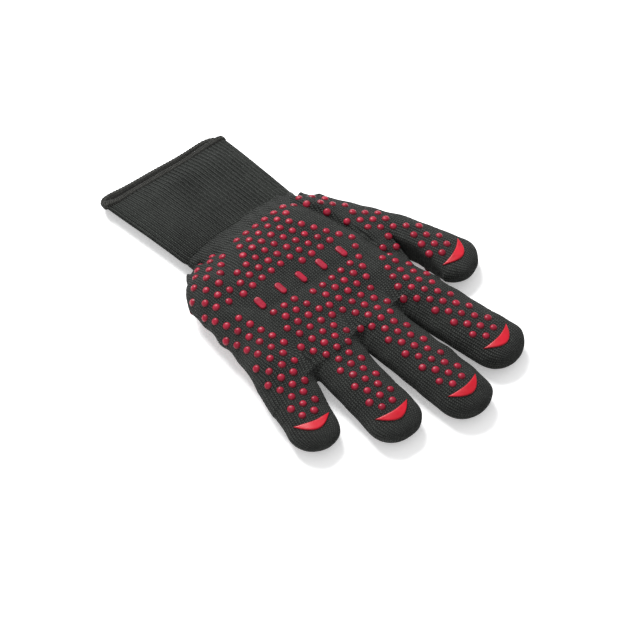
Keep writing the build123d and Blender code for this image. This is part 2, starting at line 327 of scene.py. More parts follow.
# Creases of the palm: points of a line, depth and width
CREASES = [
    ([(-56, 27), (-40, 31), (-20, 38), (0, 42.5), (14, 42), (26, 47)], 2.0, 3.2),
    ([(-16, -56), (-6, -53), (4, -44), (9, -30), (10, -8), (12, 14), (14, 28)], 0.9, 4.0),
    ([(-60, -24), (-46, -32), (-32, -39), (-18, -49), (-8, -60)], 1.5, 4.0),
    ([(-62, -48), (-54, -40), (-50, -30)], 1.6, 3.0),
    ([(-60, -38), (-50, -26), (-46, -12)], 0.8, 3.0),
    ([(-60, -20), (-52, -10), (-50, 2)], 0.6, 3.0),
]


def to_line(points, line):
    """Distance from points to a plan polyline, and how far along it they are from 0 to 1."""
    best = np.full(points.shape[:-1], 1e9)
    place = np.zeros(points.shape[:-1])
    line = np.array(line, float)
    count = len(line) - 1
    for k in range(count):
        a, d = line[k], line[k + 1] - line[k]
        u = np.clip(((points[..., :2] - a) @ d) / (d @ d), 0, 1)
        gap = np.hypot(points[..., 0] - a[0] - u * d[0], points[..., 1] - a[1] - u * d[1])
        place = np.where(gap < best, (k + u) / count, place)
        best = np.minimum(best, gap)
    return best, place


# Wide unevenness: height, size and shift of the waves
UNEVEN = [(0.45, 34, 0), (0.22, 13, 50)]
# Hollows and swellings of the palm: station, place across, radius and lift
SWELLS = [(-3, 2, 27, -2.2), (-34, -57, 14, 1.6), (-22, -14, 22, 0.8), (30, -62, 16, 0.8)]
PUCKER = (-55, 7, 0.5, 9)  # gathers at the wrist: station, length along the hand, height and pitch
RIPPLE = (3.4, 0.06, 0.08)  # wrinkles over the folding lines: pitch, height and depth of their bed
RELIEF_FADE = (4.0, 8.0)   # height at which the relief starts, and over what height it grows
THUMB_GAP = [(13, 56), (33, 57.8), (52, 57.5)]     # the open slot between the thumb and the palm
THUMB_GAP_WIDTH = 3.4


def beside_slot(points):
    """Whether points lie on the palm's side of the slot's stretch."""
    start, end = np.array(THUMB_GAP[0], float), np.array(THUMB_GAP[-1], float)
    along = end - start
    d = points[..., :2] - start
    return (d @ np.array([-along[1], along[0]]) < 0) & (d @ along < along @ along)


def on_finger(finger, points, width):
    """Whether points lie past the start of a finger's first fold, within a width of its middle."""
    held = finger.past(points, 0) > -KNUCKLE_LEAD * finger.reach
    held &= abs(finger.local(points)[1]) < width
    return held & ~beside_slot(points) if finger.name == "thumb" else held


def relief(points):
    """Folds and unevenness of the palm side, fading out towards the table."""
    top = smooth((points[..., 2] - RELIEF_FADE[0]) / RELIEF_FADE[1])
    total = sum(height * waves(points + shift, size) for height, size, shift in UNEVEN)
    for line, depth, width in CREASES:
        gap, place = to_line(points, line)
        total = total - depth * np.exp(-(gap / width) ** 2) * np.sin(pi * place) ** 0.6
    for x, y, radius, lift in SWELLS:
        d2 = (points[..., 0] - x) ** 2 + (points[..., 1] - y) ** 2
        total = total + lift * np.exp(-d2 / radius ** 2)
    x, length, height, pitch = PUCKER
    pucker = np.exp(-((points[..., 0] - x) / length) ** 2) * height
    bends = 1.5 * np.sin(points[..., 0] / 3)
    total = total + pucker * np.sin(points[..., 1] * 2 * pi / pitch + bends)
    for finger in FINGERS.values():
        total = total + fold_ripple(finger, points)
    return total * top


def fold_ripple(finger, points):
    """Wrinkles of the knit over a finger's two folding lines."""
    pitch, height, bed = RIPPLE
    past = finger.past(points, 1)
    near = np.exp(-(finger.past(points, 0) / 5) ** 2) + np.exp(-(past / 4) ** 2)
    inside = smooth(1.6 - abs(finger.local(points)[1]) / finger.tip_width)
    return near * inside * (np.sin(past * 2 * pi / pitch) * height - bed)


def skin(points):
    """The glove's outer surface as a field: negative inside."""
    fingers = None
    for name in ("index", "middle", "ring", "little"):
        one = FINGERS[name].field(points)
        fingers = one if fingers is None else smin(fingers, one, FINGER_BLEND)
    palm = slab(points, hand_outline, PALM_POWER)
    palm = np.maximum(palm, (points[..., 0] - HAND_FRONT[0]) * HAND_FRONT[1])
    palm = np.maximum(palm, HAND_BACK - points[..., 0])
    whole = smin(fingers, palm, PALM_BLEND)
    sharper = smooth((points[..., 0] - CROTCH_START[0]) / CROTCH_START[1])
    blend = PALM_BLEND - (PALM_BLEND - CROTCH_BLEND) * sharper
    whole = smin(whole, FINGERS["thumb"].field(points), blend)
    gap, place = to_line(points, THUMB_GAP)
    slot = gap - THUMB_GAP_WIDTH * np.minimum(2 * place, 1)
    whole = -smin(-whole, slot, SLOT_BLEND) - relief(points)
    return -smin(-whole, points[..., 2] - FLOOR_GAP, FLOOR_BLEND)


def gradient(points):
    """The skin field's slope."""
    parts = []
    for k in range(3):
        step = np.zeros(3)
        step[k] = GRADIENT_STEP
        parts.append((skin(points + step) - skin(points - step)) / (2 * GRADIENT_STEP))
    return np.stack(parts, -1)


def settle(points, rounds=3):
    """Points moved onto the skin, and the skin's normals there."""
    for _ in range(rounds):
        g = gradient(points)
        length2 = np.maximum((g ** 2).sum(-1), 0.05)
        shift = skin(points) / length2
        points = points - np.clip(shift, -SETTLE_STEP, SETTLE_STEP)[..., None] * g
    g = gradient(points)
    return points, g / np.linalg.norm(g, axis=-1)[..., None]


def drop(plan, side):
    """Points of the skin above or below plan points, and its normals there."""
    inside, above, below = 10.0, 42.0, -6.0
    middle = np.full(len(plan), inside)
    outer = np.full(len(plan), above if side > 0 else below)
    for _ in range(DROP_ROUNDS):
        at = (middle + outer) / 2
        free = skin(np.column_stack([plan, at])) > 0
        outer = np.where(free, at, outer)
        middle = np.where(free, middle, at)
    points = np.column_stack([plan, (middle + outer) / 2])
    g = gradient(points)
    return points, g / np.linalg.norm(g, axis=1)[:, None]


def surface_nets(values, low, step):
    """Quads of the surface where a sampled field changes sign."""
    inside = values < 0
    nx, ny, nz = inside.shape
    count = np.zeros((nx - 1, ny - 1, nz - 1), np.int8)
    corners = [(i, j, k) for i in (0, 1) for j in (0, 1) for k in (0, 1)]
    for i, j, k in corners:
        count += inside[i:nx - 1 + i, j:ny - 1 + j, k:nz - 1 + k]
    active = (count > 0) & (count < 8)
    index = -np.ones(active.shape, int)
    cells = np.argwhere(active)
    index[active] = np.arange(len(cells))
    total, hits = np.zeros((len(cells), 3)), np.zeros(len(cells))
    for a in range(8):
        for b in range(a + 1, 8):
            ca, cb = np.array(corners[a]), np.array(corners[b])
            if abs(ca - cb).sum() != 1:
                continue
            va, vb = values[tuple((cells + ca).T)], values[tuple((cells + cb).T)]
            crossed = (va < 0) != (vb < 0)
            t = np.where(crossed, va / (va - vb + 1e-30), 0)
            spot = ca + (cb - ca) * t[:, None]
            total[crossed] += spot[crossed]
            hits[crossed] += 1
    points = low + step * (cells + total / hits[:, None])
    quads = np.concatenate([net_quads(inside, index, axis) for axis in range(3)])
    return points, quads[(quads >= 0).all(1)]


def net_quads(inside, index, axis):
    """The quads round the grid edges along one axis that cross the surface."""
    head, tail = [slice(None)] * 3, [slice(None)] * 3
    head[axis], tail[axis] = slice(0, -1), slice(1, None)
    edges = np.argwhere(inside[tuple(head)] != inside[tuple(tail)])
    others = [k for k in range(3) if k != axis]
    keep = np.ones(len(edges), bool)
    for k in others:
        keep &= (edges[:, k] > 0) & (edges[:, k] < inside.shape[k] - 1)
    edges = edges[keep]
    within = inside[tuple(edges.T)]
    ring = []
    for d0, d1 in ((0, 0), (1, 0), (1, 1), (0, 1)):
        cell = edges.copy()
        cell[:, others[0]] -= d0
        cell[:, others[1]] -= d1
        ring.append(index[tuple(cell.T)])
    ring = np.stack(ring, 1)
    flip = within if axis != 1 else ~within
    ring[~flip] = ring[~flip][:, ::-1]
    return ring


def make_mesh(name, points, faces, material, normals=None, knit=None, rim=None):
    """A mesh object from millimetre points."""
    mesh = bpy.data.meshes.new(name)
    faces = [list(map(int, face)) for face in faces]
    mesh.from_pydata([tuple(p) for p in np.asarray(points) * MM], [], faces)
    mesh.polygons.foreach_set("use_smooth", [True] * len(mesh.polygons))
    if knit is not None:
        attribute = mesh.attributes.new("knit", "FLOAT_VECTOR", "POINT")
        attribute.data.foreach_set("vector", knit.astype(np.float32).reshape(-1))
    # rim: painted shade at the foot of dots and pads
    if rim is not None:
        attribute = mesh.attributes.new("rim", "FLOAT", "POINT")
        attribute.data.foreach_set("value", np.asarray(rim, np.float32))
    mesh.materials.append(material)
    mesh.update()
    if normals is not None:
        mesh.normals_split_custom_set_from_vertices([tuple(n) for n in normals])
    made = bpy.data.objects.new(name, mesh)
    bpy.context.scene.collection.objects.link(made)
    return made


class Nodes:
    """Short forms for building a material's node tree."""

    def __init__(self, name):
        self.material = bpy.data.materials.new(name)
        self.material.use_nodes = True
        self.tree = self.material.node_tree
        self.shader = self.tree.nodes["Principled BSDF"]

    def add(self, kind, inputs=None, **settings):
        node = self.tree.nodes.new(kind)
        for key, value in settings.items():
            setattr(node, key, value)
        for key, value in (inputs or {}).items():
            self.feed(node, key, value)
        return node

    def feed(self, node, key, value):
        if isinstance(value, bpy.types.NodeSocket):
            self.tree.links.new(value, node.inputs[key])
        else:
            node.inputs[key].default_value = value

    def math(self, operation, a, b=0.0):
        return self.add("ShaderNodeMath", {0: a, 1: b}, operation=operation).outputs[0]

    def noise(self, vector, scale, detail=2.0):
        inputs = {"Vector": vector, "Scale": scale, "Detail": detail}
        return self.add("ShaderNodeTexNoise", inputs).outputs["Fac"]

    def mix(self, factor, a, b):
        node = self.add("ShaderNodeMix", data_type="RGBA")
        self.feed(node, 0, factor)
        self.feed(node, 6, a)
        self.feed(node, 7, b)
        return node.outputs[2]

    def spread(self, value, low, high, to_low=0.0, to_high=1.0):
        inputs = {0: value, 1: low, 2: high, 3: to_low, 4: to_high}
        return self.add("ShaderNodeMapRange", inputs).outputs[0]

    def bump(self, height, distance, strength=1.0):
        inputs = {"Height": height, "Distance": distance, "Strength": strength}
        return self.add("ShaderNodeBump", inputs).outputs["Normal"]

    def set(self, **values):
        for key, value in values.items():
            self.feed(self.shader, key.replace("_", " "), value)


def brighter(colour, times):
    return tuple(c * times for c in colour[:3]) + (1,)


def knit_material(name, wale, course, groove_shade, light, depth):
    """Knitted yarn: columns of V stitches laid out by the mesh's knit attribute."""
    wobble_size, wobble_rate, leg_slope, fibre_rate, fibre_share = 0.55, 260.0, 1.5, 2600.0, 0.35
    n = Nodes(name)
    at = n.add("ShaderNodeAttribute", attribute_name="knit").outputs["Vector"]
    place = n.add("ShaderNodeTexCoord").outputs["Object"]
    wobble = n.math("MULTIPLY", n.math("SUBTRACT", n.noise(place, wobble_rate), 0.5), wobble_size)
    axes = n.add("ShaderNodeSeparateXYZ", {0: at})
    across = n.math("DIVIDE", n.math("ADD", axes.outputs[0], wobble), wale)
    along = n.math("DIVIDE", n.math("ADD", axes.outputs[1], wobble), course)
    off = n.math("ABSOLUTE", n.math("SUBTRACT", n.math("FRACT", across), 0.5))
    leg = n.math("ADD", along, n.math("MULTIPLY", off, leg_slope))
    column = n.math("ABSOLUTE", n.math("SINE", n.math("MULTIPLY", across, pi)))
    column = n.math("POWER", column, 0.6)
    loop = n.math("ABSOLUTE", n.math("SINE", n.math("MULTIPLY", leg, pi)))
    height = n.math("MULTIPLY", column, n.math("ADD", n.math("MULTIPLY", loop, 0.85), 0.15))
    fibre = n.noise(place, fibre_rate, 3.0)
    height = n.math("ADD", height, n.math("MULTIPLY", fibre, fibre_share))
    colour = knit_colour(n, place, height, groove_shade, light)
    n.set(Base_Color=colour, Roughness=0.88, Normal=n.bump(height, depth))
    n.set(Sheen_Weight=0.05, Sheen_Roughness=0.45, Specular_IOR_Level=0.08)
    return n.material


def knit_colour(n, place, height, groove_shade, light):
    """Painted shade between the stitches and light on their tops, worn in patches, with pale flecks
    of fibre.
    """
    patch_rate, fleck_rate = 42.0, 900.0
    # Painted shade: the lower a point lies between the stitches, the darker it is painted
    height_shade = n.spread(height, 0.45, 1.05)
    patch = n.spread(n.noise(place, patch_rate, 3.0), 0.3, 0.75, 0.0, 0.35)
    fleck = n.spread(n.noise(place, fleck_rate, 2.0), 0.45, 0.75, 0.0, 0.45)
    colour = n.mix(height_shade, groove_shade, light)
    worn = n.mix(patch, colour, brighter(light, 1.45))
    return n.mix(n.math("MULTIPLY", fleck, height_shade), worn, brighter(light, 3.2))


def silicone_material(name, deep, bright):
    """Glossy red grip silicone, with painted shade where the mesh's rim attribute marks its foot.
    """
    patch_rate, gloss_rate, grain_rate, grain_depth = 120.0, 500.0, 1500.0, 0.00006
    n = Nodes(name)
    place = n.add("ShaderNodeTexCoord").outputs["Object"]
    patch = n.noise(place, patch_rate, 2.0)
    colour = n.mix(n.spread(patch, 0.3, 0.7), deep, bright)
    # The rim attribute holds the painted shade at the foot of a dot or pad
    rim = n.add("ShaderNodeAttribute", attribute_name="rim").outputs["Fac"]
    colour = n.mix(rim, colour, FOOT_SHADE_RED)
    rough = n.spread(n.noise(place, gloss_rate, 2.0), 0.3, 0.7, 0.30, 0.44)
    grain = n.noise(place, grain_rate, 2.0)
    n.set(Base_Color=colour, Roughness=rough, Normal=n.bump(grain, grain_depth))
    n.set(Coat_Weight=0.06, Coat_Roughness=0.15, IOR=1.42, Specular_IOR_Level=0.25)
    return n.material


# Each knit: name, stitch width, stitch height, colour of the painted shade between the stitches and
# colour on them, bump
KNIT = knit_material("glove_knit", 1.80, 1.42,
                     (0.0004, 0.0005, 0.0005, 1), (0.036, 0.039, 0.036, 1), 0.0012)
RIB = knit_material("cuff_knit", 1.40, 1.25,
                    (0.0005, 0.0006, 0.0005, 1), (0.037, 0.041, 0.037, 1), 0.0014)
HEM = knit_material("hem_knit", 1.10, 1.60,
                    (0.0016, 0.0016, 0.0014, 1), (0.050, 0.050, 0.045, 1), 0.0009)
# The lining's colours are darkened to near black: painted shade inside the cuff's mouth
LINING_IN_SHADE = knit_material("lining_knit", 1.5, 1.2,
                       (0.0003, 0.0003, 0.0003, 1), (0.008, 0.008, 0.007, 1), 0.0006)
# Red of the painted shade at the foot of the dots and pads
FOOT_SHADE_RED = (0.10, 0.002, 0.008, 1)
DOT_RED = silicone_material("dot_silicone", (0.19, 0.004, 0.018, 1), (0.31, 0.008, 0.029, 1))
PAD_RED = silicone_material("pad_silicone", (0.37, 0.003, 0.012, 1), (0.46, 0.005, 0.019, 1))


def round_the_side(across, width, up, height):
    """Distance round an elliptical tube from its nearer crown, signed like across."""
    angle = np.arctan2(abs(across) / width, abs(up) / height)
    total = 0
    for k in range(ARC_STEPS):
        a = angle * (k + 0.5) / ARC_STEPS
        total = total + np.hypot(width * np.cos(a), height * np.sin(a))
    return np.sign(across) * total * angle / ARC_STEPS


def knit_coordinates(points):
    """Wale and course distances over the skin, running from the palm into each finger."""
    low, high, thickness = hand_outline(points[:, 0])
    centre, width, height = (low + high) / 2, (high - low) / 2, thickness / 2

    off = points[:, 1] - centre
    fall = np.clip(height - abs(points[:, 2] - FLOOR_GAP - height), 0, None)
    # The way over the side is longer than straight across
    wale = points[:, 1] + np.sign(off) * SIDE_BOW * fall * np.clip(abs(off) / width, 0, 1) ** 2
    course = points[:, 0].copy()
    fields = np.stack([FINGERS[name].field(points) for name in FINGER_NAMES])
    owner = fields.argmin(0)
    thumb = FINGER_NAMES.index("thumb")
    owner[(owner == thumb) & beside_slot(points)] = FINGER_NAMES.index("index")
    for k, name in enumerate(FINGER_NAMES):
        finger = FINGERS[name]
        s, t = finger.local(points)
        fw, fh, _ = finger.section(s)
        nose = np.clip((s - finger.end + NOSE) / NOSE, 0, 0.999)
        far = s.clip(None, finger.end - NOSE) + NOSE * np.arcsin(nose)
        side_arc = round_the_side(t, fw, points[:, 2] - FLOOR_GAP - fh, fh)
        finger_wale = side_arc + finger.knuckle[1]
        mine = smooth((finger.past(points, 0) + KNIT_TURN[0]) / KNIT_TURN[1]) * (owner == k)
        wale = wale * (1 - mine) + finger_wale * mine
        course = course * (1 - mine) + (far + finger.knuckle[0]) * mine
    return np.stack([wale, course, np.zeros(len(points))], 1), owner


def subdivided(points, quads):
    """Each quad split into four."""
    sides = ([0, 1], [1, 2], [2, 3], [3, 0])
    edges = np.sort(np.concatenate([quads[:, side] for side in sides]), 1)
    unique, index = np.unique(edges, axis=0, return_inverse=True)
    index = index.reshape(4, -1).T
    middles = points[unique].mean(1)
    centres = points[quads].mean(1)
    first, second = len(points), len(points) + len(middles)
    e = first + index
    c = second + np.arange(len(quads))
    parts = [np.stack([quads[:, k], e[:, k], c, e[:, (k + 3) % 4]], 1) for k in range(4)]
    return np.concatenate([points, middles, centres]), np.concatenate(parts)


def taken(points, normals, knit, quads):
    """The points that some quads use, with the quads renumbered."""
    used, index = np.unique(quads, return_inverse=True)
    return points[used], normals[used], knit[used], index.reshape(quads.shape)


def bend(made):
    """Bakes a piece's placement into its mesh points."""
    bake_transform(made)


def skin_mesh():
    """The whole glove's skin: points, their normals, and quads."""
    low, high = SKIN_BOX
    counts = ((high - low) / GRID).astype(int) + 1
    grids = np.meshgrid(*(low[k] + GRID * np.arange(counts[k]) for k in range(3)), indexing="ij")
    points, quads = surface_nets(skin(np.stack(grids, -1)), low, GRID)
    points, quads = subdivided(points, quads)
    points, normals = settle(points)
    return points, normals, quads[points[quads][..., 0].max(1) > HAND_START]


def build_skin():
    """The knit in one piece for the hand and two for each finger, split at its folds."""
    points, normals, quads = skin_mesh()
    knit, owner = knit_coordinates(points)
    centres = points[quads].mean(1)
    face_owner = owner[quads[:, 0]]
    left = np.ones(len(quads), bool)
    for k, name in enumerate(FINGER_NAMES):
        finger = FINGERS[name]
        mine = (face_owner == k) & on_finger(finger, centres, finger.root_width * FINGER_SIDE)
        tip = mine & (finger.past(centres, 1) > -finger.reach)
        for joint, chosen, segment in ((0, mine & ~tip, "base"), (1, tip, "tip")):
            made = make_skin(f"{name}_{segment}_skin", points, normals, knit, quads[chosen])
            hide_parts(f"{name}_{segment}_shell", f"{name}_{segment}_liner")
            bend(made)
        left &= ~mine
    hand = make_skin("hand_skin", points, normals, knit, quads[left])
    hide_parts("hand_shell", "hand_liner")
    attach(hand, "hand")


def make_skin(name, points, normals, knit, quads):
    points, normals, knit, quads = taken(points, normals, knit, quads)
    made = make_mesh(name, points, quads, KNIT, normals, knit)
    return made


def joined(parts):
    """Separate solids' points and faces as one list of each."""
    points, faces, base = [], [], 0
    for own, own_faces in parts:
        points.append(own)
        faces += [tuple(k + base for k in face) for face in own_faces]
        base += len(own)
    return np.concatenate(points), faces


def dome():
    """A grip dot: rings of points about +Z, and its faces."""
    around = DOME_AROUND
    points = []
    for r, z in DOME_PROFILE:
        for k in range(around):
            a = 2 * pi * k / around
            points.append((r * DOT_RADIUS * cos(a), r * DOT_RADIUS * sin(a), z * DOT_RISE))
    faces = []
    for ring in range(len(DOME_PROFILE) - 1):
        for k in range(around):
            a, b = ring * around + k, ring * around + (k + 1) % around
            faces.append((a, b, b + around, a + around))
    last = (len(DOME_PROFILE) - 1) * around
    faces.append(tuple(range(last, last + around)))
    faces.append(tuple(reversed(range(around))))
    return np.array(points), faces


DOME_POINTS, DOME_FACES = dome()


def upright(normal, ahead):
    """Rows of a turn that takes +Z to a normal, with X near a direction."""
    x = ahead - normal * (ahead @ normal)
    x /= np.linalg.norm(x)
    return np.array([x, np.cross(normal, x), normal])


def dots_at(centres):
    """Domes standing on the skin nearest to some points."""
    feet, normals = settle(np.array(centres, float), 6)
    level = np.where(normals[:, 2] > 0, normals[:, 2], -normals[:, 2] - BACK_LESS)
    feet, normals = feet[level > DOT_LEVEL], normals[level > DOT_LEVEL]
    parts = []
    for k, (foot, normal) in enumerate(zip(feet, normals)):
        size = 1 + DOT_UNEVEN * sin(12.9 * k + foot[0])
        lean = DOT_UNEVEN * np.array([sin(3.1 * foot[0]), sin(2.3 * foot[1]), 0])
        turn = upright(unit(normal + lean), np.array([1.0, 0, 0]))
        parts.append((foot + (DOME_POINTS * [size, size, 1]) @ turn, DOME_FACES))
    return joined(parts)


def make_dots(name, centres, replaced):
    """A piece of grip dots."""
    shade_top, shade_length, shade_most = 0.62, 0.5, 0.9
    points, faces = dots_at(centres)
    # Painted shade, darkest at a dome's foot and fading out up its side
    rim = np.clip((shade_top - DOME_POINTS[:, 2] / DOT_RISE) / shade_length, 0, shade_most)
    rim = np.tile(rim, len(points) // len(rim))
    made = make_mesh(name, points, faces, DOT_RED, rim=rim)
    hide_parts(*replaced)
    return made


def fold_dots(finger, others):
    """Dots that carry a finger's rows on over its folding lines, clear of the other dots."""
    front = finger.end - CRESCENT_BACK - DOT_FRONT
    found = []
    for row in range(DOT_ROWS):
        s = front - row * DOT_PITCH * 3 ** 0.5 / 2
        shift = 0.5 if row % 2 == 0 else 0.0
        for column in (-1, 0, 1):
            t = (column + shift) * DOT_PITCH
            plan = finger.knuckle[:2] + s * finger.along + t * finger.across
            near_fold = min(abs(finger.past(plan, 0)), abs(finger.past(plan, 1))) < FOLD_CLEAR
            if abs(t) > DOT_PITCH or not near_fold:
                continue
            for side in (1, -1):
                spot = drop(plan[None], side)[0]
                if np.linalg.norm(others - spot, axis=1).min() > DOT_APART:
                    found.append(spot[0])
    return np.array(found).reshape(-1, 3)


def shared_out(centres, roots):
    """Sorts some dots into the fingers' roots; returns those that stay on the hand."""
    stay = []
    for centre in centres:
        owners = [name for name, finger in FINGERS.items()
                  if on_finger(finger, centre, finger.tip_width)]
        if owners:
            roots[owners[-1]].append(centre)
        else:
            stay.append(centre)
    return stay


def build_dots():
    """The grip dots of the hand's areas, then those of each finger in two pieces."""
    held = []
    roots = {name: [] for name in FINGER_NAMES}
    groups = [f"{side}_{group}_dots" for side in ("palm", "back")
              for group in ("finger", "edge", "heel", "thumb")]
    for group in groups:
        centres = islands(group)
        if group in WRIST_DOTS:
            centres = np.concatenate([centres, drop(np.array(WRIST_DOTS[group]), 1)[0]])
        stay = shared_out(centres, roots)
        held += stay
        made = make_dots(group + "_grip", stay, [group])
        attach(made, "hand")
    for name, finger in FINGERS.items():
        base, tip = islands(f"{name}_base_dots"), islands(f"{name}_tip_dots")
        both = np.concatenate([base, tip] + ([roots[name]] if roots[name] else []))
        both = np.concatenate([both, fold_dots(finger, np.concatenate([both, held]))])
        late = finger.past(both, 1) > -finger.reach
        bend(make_dots(f"{name}_base_grip", both[~late], [f"{name}_base_dots"]))
        bend(make_dots(f"{name}_tip_grip", both[late], [f"{name}_tip_dots"]))


def pad(outline_rings, side, rise, rim, folded=False):
    """A raised pad on the skin, from rings that run from its edge to its middle."""
    points, faces, edge = [], [], []
    for depth, plan in outline_rings:
        seat, normal = drop(plan, side)
        lift = rise * (1 - (1 - min(depth / rim, 1)) ** 2) ** 0.5 - PAD_SINK
        # Painted shade of each ring: darkest at the pad's foot, fading out over its rounded edge
        if not points:
            points.append(seat - normal * PAD_ROOT)
            edge += [EDGE_SHADE] * len(plan)
        points.append(seat + normal * lift)
        edge += [EDGE_SHADE * (1 - smooth(depth / rim))] * len(plan)
    count = len(outline_rings[0][1])
    for ring in range(len(points) - 1):
        for k in range(count):
            a, b = ring * count + k, ring * count + (k + 1) % count
            faces.append((a, b, b + count, a + count))
    last = (len(points) - 1) * count
    faces += [tuple(k + last for k in cap) for cap in pad_caps(count, folded)]
    faces.append(tuple(reversed(range(count))))
    if side < 0:
        faces = [face[::-1] for face in faces]
    return np.concatenate(points), faces, edge


def pad_caps(count, folded):
    """The faces that close a pad's top: one, or a strip between its two long sides."""
    if not folded:
        return [tuple(range(count))]
    caps = [(k, k + 1, count - k - 1, (count - k) % count) for k in range(count // 2)]
    caps[0], caps[-1] = caps[0][:3], caps[-1][:2] + caps[-1][3:]
    return caps


def make_pads(name, parts, material):
    """A piece of several pads."""
    points, faces = joined([part[:2] for part in parts])
    # The painted shade at the foot of each pad, for the rim attribute
    edges = [value for part in parts for value in part[2]]
    return make_mesh(name, points, faces, material, rim=edges)


def stadium(length, width, count=28):
    """A closed slot outline about the origin."""
    points = []
    straight, radius = (length - width) / 2, width / 2
    for k in range(count):
        a = 2 * pi * (k + 0.5) / count - pi / 2
        points.append((radius * cos(a) + (straight if cos(a) > 0 else -straight), radius * sin(a)))
    return np.array(points)


def build_bars():
    """The row of five plain bars on each side of the hand."""
    for side, group in ((1, "palm_bars"), (-1, "back_bars")):
        parts = []
        for centre in islands(group):
            rings = [(depth, centre[:2] + stadium(BAR_LENGTH - 2 * depth, BAR_WIDTH - 2 * depth))
                     for depth in BAR_RINGS]
            parts.append(pad(rings, side, BAR_RISE, BAR_RIM))
        made = make_pads(group + "_grip", parts, DOT_RED)
        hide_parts(group)
        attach(made, "hand")


def crescent_outline(finger, inset):
    """A crescent's closed outline, moved inwards by the inset."""
    half = CRESCENT_WIDTH / 2
    count = CRESCENT_SIDES
    limit = half - inset * CRESCENT_POINT
    turns = [*range(-count, count + 1), *range(count - 1, -count, -1)]
    v = np.clip(np.array(turns) / count * half, -limit, limit)
    outer = np.arange(len(turns)) <= 2 * count
    fall = 1 - (v / half) ** 2
    s = np.where(outer, CRESCENT_DEPTH * fall - inset, CRESCENT_HOLLOW * fall + inset)
    middle = (CRESCENT_DEPTH + CRESCENT_HOLLOW) / 2 * fall
    s = np.where(outer, np.maximum(s, middle), np.minimum(s, middle))
    chord = finger.end - CRESCENT_BACK
    return finger.knuckle[:2] + (chord + s[:, None]) * finger.along + v[:, None] * finger.across


def build_crescents():
    """The two crescents of each fingertip, palm side and back."""
    for name, finger in FINGERS.items():
        rings = [(depth, crescent_outline(finger, depth)) for depth in CRESCENT_RINGS]
        parts = [pad(rings, side, CRESCENT_RISE, CRESCENT_RIM, folded=True) for side in (1, -1)]
        made = make_pads(f"{name}_crescent_grip", parts, PAD_RED)
        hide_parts(f"{name}_crescents")
        bend(made)


def cuff_rim(angle):
    """Station of the opening's edge at an angle round the cuff, 90 degrees being the palm side."""
    up = np.sin(angle)
    uneven = 1 - 0.35 * np.cos(angle) + 0.08 * np.sin(5 * angle)
    palm = MOUTH_PALM * smooth(up * 1.3) * uneven
    back = MOUTH_BACK * smooth(-up * 1.2)
    corner = MOUTH_CORNER * abs(np.cos(angle)) ** MOUTH_CORNER_POWER
    return MOUTH_X + palm - back + corner


def cuff_point(station, angle, inset=0.0, ribs=0.0):
    """Points round the cuff."""
    low, high, thickness = cuff_outline(station)
    c, s = np.cos(angle), np.sin(angle)
    width, height = (high - low) / 2 - inset, thickness / 2 - inset
    near = smooth((MOUTH_X + SAG_LENGTH - station) / SAG_LENGTH)
    y = (low + high) / 2 + width * np.sign(c) * abs(c) ** CUFF_SIDE_POWER
    sag = near * SAG * smooth(s) * (1 - 0.5 * np.cos(2 * angle))
    z = FLOOR_GAP + inset + height * (1 + np.sign(s) * abs(s) ** CUFF_RISE_POWER) - sag
    roll = ROLL * np.sin(station / ROLL_LENGTH + 2 * angle) * smooth(s)
    out = RIB_DEPTH * ribs
    return np.stack([station + MOUTH_SKEW * y, y + out * c, z + (out + roll) * s], -1)


def tube_faces(rows, around, flip=False):
    """Quads of a tube whose points stand in rings."""
    a = np.arange(around)
    b = (a + 1) % around
    faces = []
    for row in range(rows - 1):
        here, there = row * around, (row + 1) * around
        quad = np.stack([here + a, here + b, there + b, there + a], 1)
        faces.append(quad[:, ::-1] if flip else quad)
    return np.concatenate(faces)


def ring_lengths(points):
    """Arc distances round a closed ring of points."""
    gaps = np.linalg.norm(np.roll(points, -1, 0) - points, axis=1)
    return np.concatenate([[0], np.cumsum(gaps)[:-1]]), gaps.sum()


def cuff_angles():
    """Angles at even distances round the cuff, and how many ribs have gone by at each."""
    samples = 6000
    fine = 2 * pi * np.arange(samples) / samples
    distance, whole = ring_lengths(cuff_point(np.full(samples, CUFF_MIDDLE), fine))
    ribs = round(whole / RIB_PITCH)
    around = ribs * 8
    even = whole * np.arange(around) / around
    return np.interp(even, distance, fine), even / whole * ribs


def build_cuff():
    """The ribbed cuff, its lining and its hem."""
    angle, phase = cuff_angles()
    around = len(angle)
    groove = -2 * abs(np.sin(pi * (phase + 0.5))) ** RIB_SHARPNESS
    rows = 90
    points, knit = [], []
    for row in range(rows):
        u = row / (rows - 1)
        station = cuff_rim(angle) * (1 - u) + CUFF_END * u
        fade = np.clip((CUFF_END + 12 - station) / RIB_FADE, 0, 1)
        inset = CUFF_TUCK * smooth((station - CUFF_END + 8) / 8)
        points.append(cuff_point(station, angle, inset, groove * fade))
        knit.append(np.stack([phase * RIB_PITCH, station, 0 * station], 1))
    made = make_mesh("cuff_ribbing", np.concatenate(points), tube_faces(rows, around), RIB, None,
                     np.concatenate(knit))
    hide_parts("cuff_shell")
    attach(made, "hand")
    build_lining(angle, around)
    build_hem(angle, around)


def build_lining(angle, around):
    """The thin knit inside the cuff."""
    rows, overlap, knit_scale = 24, 0.4, 32
    gap, deeper = LINING_GAP
    points, knit = [], []
    for row in range(rows):
        u = row / (rows - 1)
        station = (cuff_rim(angle) + overlap) * (1 - u) + LINING_END * u
        points.append(cuff_point(station, angle, gap + deeper * smooth(u * 8)))
        knit.append(np.stack([angle * knit_scale, station, 0 * station], 1))
    made = make_mesh("cuff_lining", np.concatenate(points), tube_faces(rows, around, True), LINING_IN_SHADE,
                     None, np.concatenate(knit))
    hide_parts("cuff_liner")
    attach(made, "hand")


